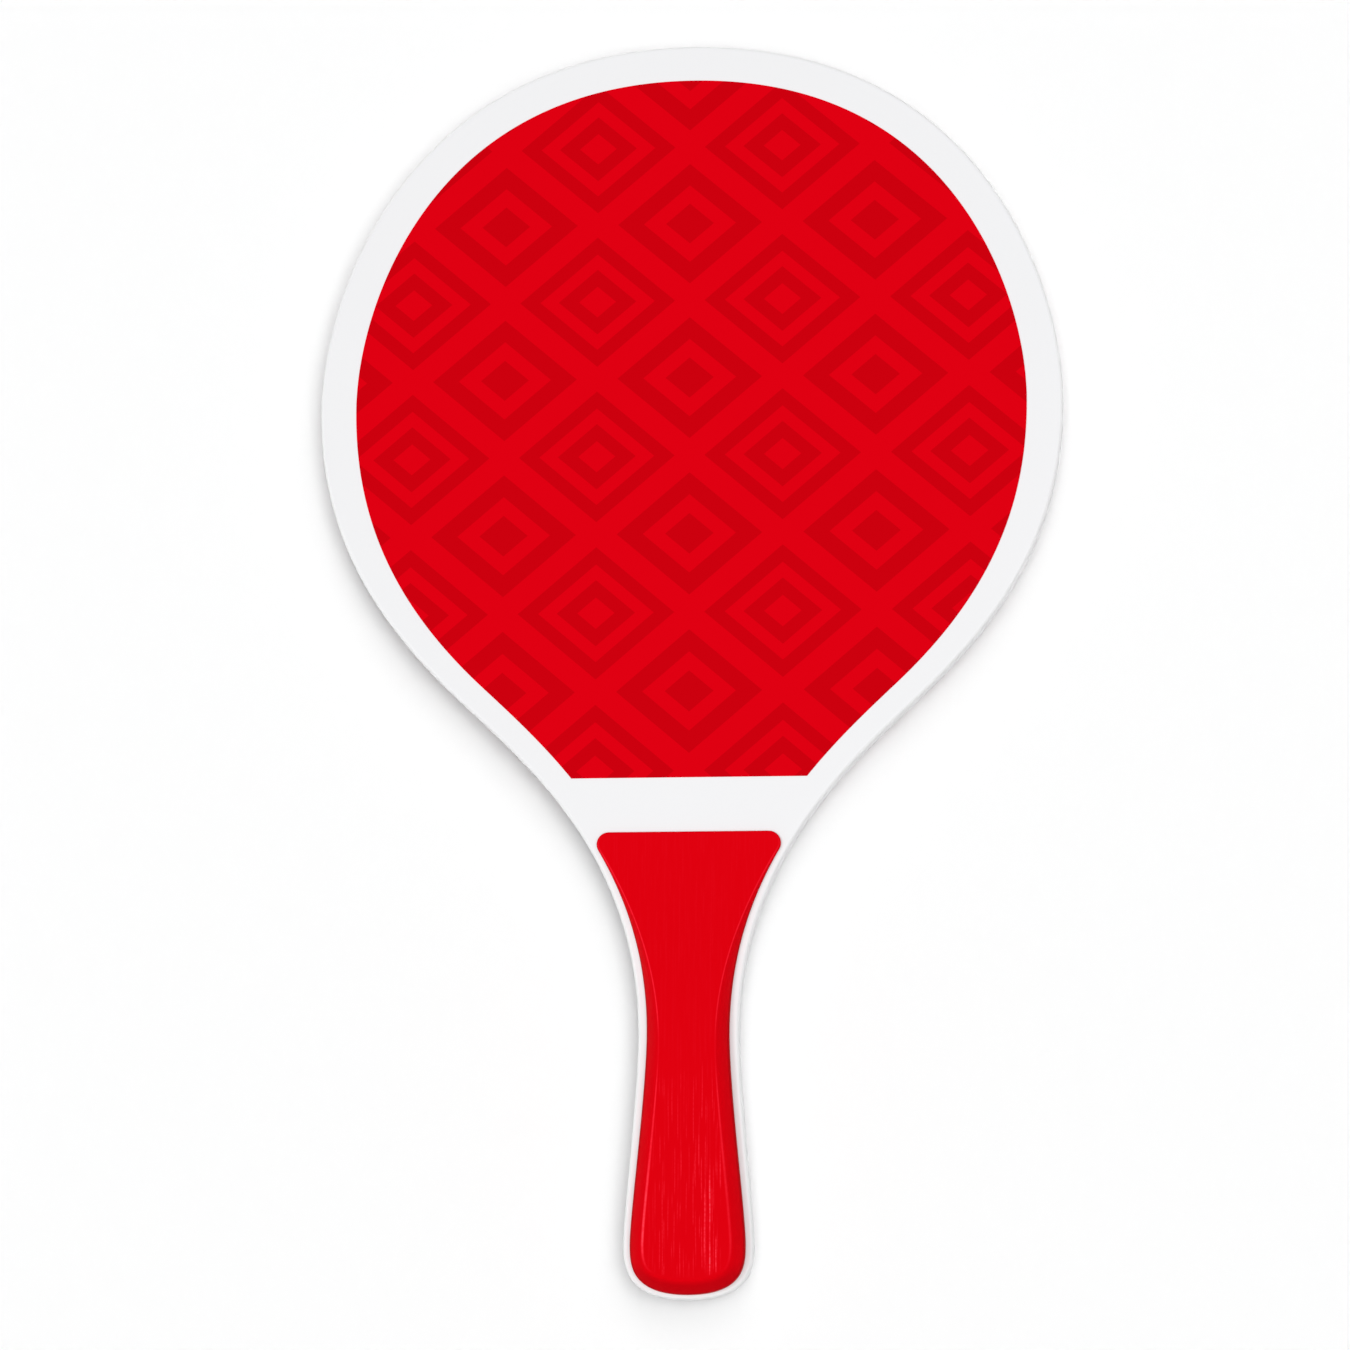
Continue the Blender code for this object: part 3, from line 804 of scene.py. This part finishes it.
LOW_TO_HIGH, LEFT_RIDGE, RIGHT_RIDGE = (-0.166, -0.142), (1.9, 0.92), (0.5, 0.66)
LEFT_TO_RIGHT = (-0.006, 0.006)
WAIST, WAIST_FADING = (-0.130, -0.121, -0.115, -0.106), 0.75
FOOT_SHADE, BUTT_SHADE = 0.90, 0.62
BUTT_Y, BUTT_BELOW_RIDGE = (-0.1790, -0.1850), (0.0, -0.0018)
GLOSSIER_ON_HIGHLIGHTS = 0.05

tree, where, shader = open_finish("painted_grip", metallic=0.0, specular_ior_level=0.02,
                                  specular_tint=(1.0, 0.08, 0.10, 1))
spread = add(tree, "ShaderNodeSeparateXYZ", where).outputs
bold = group(tree, hairs, where, spacing=0.0016, width=0.00036, length=0.020, seed=5.0)
fine = group(tree, hairs, where, spacing=0.0009, width=0.00028, length=0.012, seed=11.0)
pores = group(tree, grain, where, line_width=0.0007, line_length=0.030, threshold=0.48, softness=0.2, seed=7.0)
skin_of = group(tree, uneven, where, peel_size=0.0012, patch_size=0.03)
past_ridge = kept_value(tree, "past_ridge")

# Painted highlights along the raised grain: strong on the lower right of the flat top, weak elsewhere, none on the
# chamfer.
bold_highlights = maths(tree, "MULTIPLY", window(tree, spread["X"], *BOLD_HIGHLIGHTS_X), window(tree, spread["Y"], *BOLD_HIGHLIGHTS_Y))
fine_highlights = maths(tree, "MULTIPLY", window(tree, spread["X"], *FINE_HIGHLIGHTS_X), window(tree, spread["Y"], *FINE_HIGHLIGHTS_Y))
bold_highlights = maths(tree, "MULTIPLY", bold["Lines"], maths(tree, "MULTIPLY_ADD", bold_highlights, BOLD_HIGHLIGHTS_GAIN, BOLD_ELSEWHERE))
fine_highlights = maths(tree, "MULTIPLY", fine["Lines"], maths(tree, "MULTIPLY_ADD", fine_highlights, FINE_HIGHLIGHTS_GAIN, FINE_ELSEWHERE))
raised = maths(tree, "MULTIPLY", maths(tree, "MAXIMUM", bold_highlights, fine_highlights),
               smooth_range(tree, past_ridge, *HAIRS_FROM_RIDGE, 0.0, 1.0))

# A painted highlight along the ridge: strongest low on the left, weaker on the right and at the waist, broken here and
# there.
width = smooth_range(tree, spread["Y"], *RIDGE_NARROWS)
ridge_highlight = window(tree, maths(tree, "DIVIDE", past_ridge, width), *RIDGE_LINE)
left = smooth_range(tree, spread["Y"], *LOW_TO_HIGH, *LEFT_RIDGE)
right = smooth_range(tree, spread["Y"], *LOW_TO_HIGH, *RIGHT_RIDGE)
side = smooth_range(tree, spread["X"], *LEFT_TO_RIGHT, left, right)
at_waist = window(tree, spread["Y"], *WAIST)
for mask in (maths(tree, "SUBTRACT", 1.0, maths(tree, "MULTIPLY", at_waist, WAIST_FADING)),
             window(tree, spread["Y"], *RIDGE_RUN),
             smooth_range(tree, skin_of["Peel"], *RIDGE_BREAKS)):
    side = maths(tree, "MULTIPLY", side, mask)
thin_coat_and_highlight = maths(tree, "ADD", raised, maths(tree, "MULTIPLY", ridge_highlight, side))

# Painted shade: on the upright wall and the foot of the chamfer, and on the outer chamfer at the butt.
butt = maths(tree, "MULTIPLY", smooth_range(tree, spread["Y"], *BUTT_Y, 0.0, BUTT_SHADE),
             smooth_range(tree, past_ridge, *BUTT_BELOW_RIDGE, 0.0, 1.0))
painted_shade = maths(tree, "MAXIMUM", maths(tree, "MULTIPLY", kept_value(tree, "edge"), FOOT_SHADE), butt)
# The painted highlights turn the red brighter, then pale, and the painted shade turns it deeper.
coat_with_painted_light = blend_colour(tree, thin_coat_and_highlight, GRIP_RED, GRIP_BRIGHT)
coat_with_painted_light = blend_colour(tree, maths(tree, "SUBTRACT", thin_coat_and_highlight, 1.0), coat_with_painted_light, GRIP_HIGHLIGHT_PALE)
tree.links.new(blend_colour(tree, painted_shade, coat_with_painted_light, GRIP_SHADE_RED), shader["Base Color"])
rough = patchy(tree, skin_of, 0.36, 0.46)
glossier = maths(tree, "MULTIPLY", thin_coat_and_highlight, GLOSSIER_ON_HIGHLIGHTS)
tree.links.new(maths(tree, "SUBTRACT", rough, glossier), shader["Roughness"])
under = bump(tree, pores["Height"], depth=0.00003)
tree.links.new(bump(tree, raised, depth=0.00003, below=under), shader["Normal"])
print("painted_grip has", len(tree.nodes), "nodes")

# %% [markdown]
# The bat lies on a plain white table. The camera sees the table nearly pure white, and other surfaces get back a bit
# less light from it. The room is an even pale dome: it gives weak light from all sides, but it looks white, also
# where the lacquer mirrors it.

# %% Floor and room
def seen_directly(tree):
    """A mask of 1 for what the camera, a mirror or a glass sees."""
    ray = add(tree, "ShaderNodeLightPath").outputs
    mirrored = maths(tree, "MAXIMUM", ray["Is Glossy Ray"], ray["Is Transmission Ray"])
    return maths(tree, "MAXIMUM", ray["Is Camera Ray"], mirrored)


FLOOR_REACH = 30.0
PAPER_WHITE, PAPER_SHADE = (0.993, 0.993, 0.993, 1), (0.988, 0.988, 0.989, 1)
PASSED_ON = (0.85, 0.85, 0.85, 1)
ROOM_LIGHT = 0.365

floor_mesh = bpy.data.meshes.new("floor")
floor_mesh.from_pydata([(x * FLOOR_REACH, y * FLOOR_REACH, 0) for x, y in ((-1, -1), (1, -1), (1, 1), (-1, 1))],
                       [], [(0, 1, 2, 3)])
floor = as_object("floor", floor_mesh)
finishes["white table"] = bpy.data.materials.new("white table")
tree, where, shader = open_finish("white table", roughness=1.0, specular_ior_level=0.0)
paper = blend_colour(tree, noise(tree, where, scale=3.0, detail=2.0), PAPER_WHITE, PAPER_SHADE)
tree.links.new(blend_colour(tree, seen_directly(tree), PASSED_ON, paper), shader["Base Color"])
floor_mesh.materials.append(finishes["white table"])

world = bpy.data.worlds.new("room")
world.use_nodes = True
bpy.context.scene.world = world
sky = world.node_tree
strength = add(sky, "ShaderNodeMix", seen_directly(sky), ROOM_LIGHT, 1.0, data_type="FLOAT")
sky.links.new(result(strength), sky.nodes["Background"].inputs["Strength"])
sky.nodes["Background"].inputs["Color"].default_value = (1, 1, 1, 1)

# %% [markdown]
# A soft lamp high above the butt's right side lights everything. In a studio, small screens keep the light of a lamp
# off the table or off the object, and light linking does the same here. The left lamp models the chamfers and never
# touches the table. Two lamps light only the table, from the far right and from the head's side, so its shadow falls
# to the left and below the butt. The scale under the handle doesn't pass on bounced light, because its red would
# tint the white table beside the handle.

# %% Lamps
def kept_for(name, thing, state):
    """A set for a lamp: only one thing, or all but one thing."""
    things = bpy.data.collections.new(name)
    things.objects.link(thing)
    things.collection_objects[0].light_linking.link_state = state
    return things


def lamp(name, lights=None, *, azimuth, elevation, share, softness):
    """A sun that gives a level surface a share of full light. Azimuth runs anticlockwise from the bat's right."""
    light = bpy.data.lights.new(name, "SUN")
    light.energy = share * math.pi / math.sin(math.radians(elevation))
    light.angle = math.radians(softness)
    thing = bpy.data.objects.new(name, light)
    bpy.context.scene.collection.objects.link(thing)
    turned, risen = math.radians(azimuth), math.radians(elevation)
    towards = Vector((math.cos(turned) * math.cos(risen), math.sin(turned) * math.cos(risen), math.sin(risen)))
    thing.rotation_euler = towards.to_track_quat("Z", "Y").to_euler()
    thing.light_linking.receiver_collection = lights
    print(name, "gives", share, "of full light")


table_only = kept_for("table only", floor, "INCLUDE")
all_but_table = kept_for("all but the table", floor, "EXCLUDE")
lamp("key_lamp", azimuth=315, elevation=78, share=0.425, softness=40)
lamp("left_lamp", all_but_table, azimuth=180, elevation=58, share=0.195, softness=16)
lamp("far_right_lamp", table_only, azimuth=45, elevation=65, share=0.160, softness=50)
lamp("head_lamp", table_only, azimuth=90, elevation=50, share=0.052, softness=30)

bpy.data.objects["grip_back"].visible_diffuse = False
bpy.context.scene.view_settings.view_transform = "Standard"
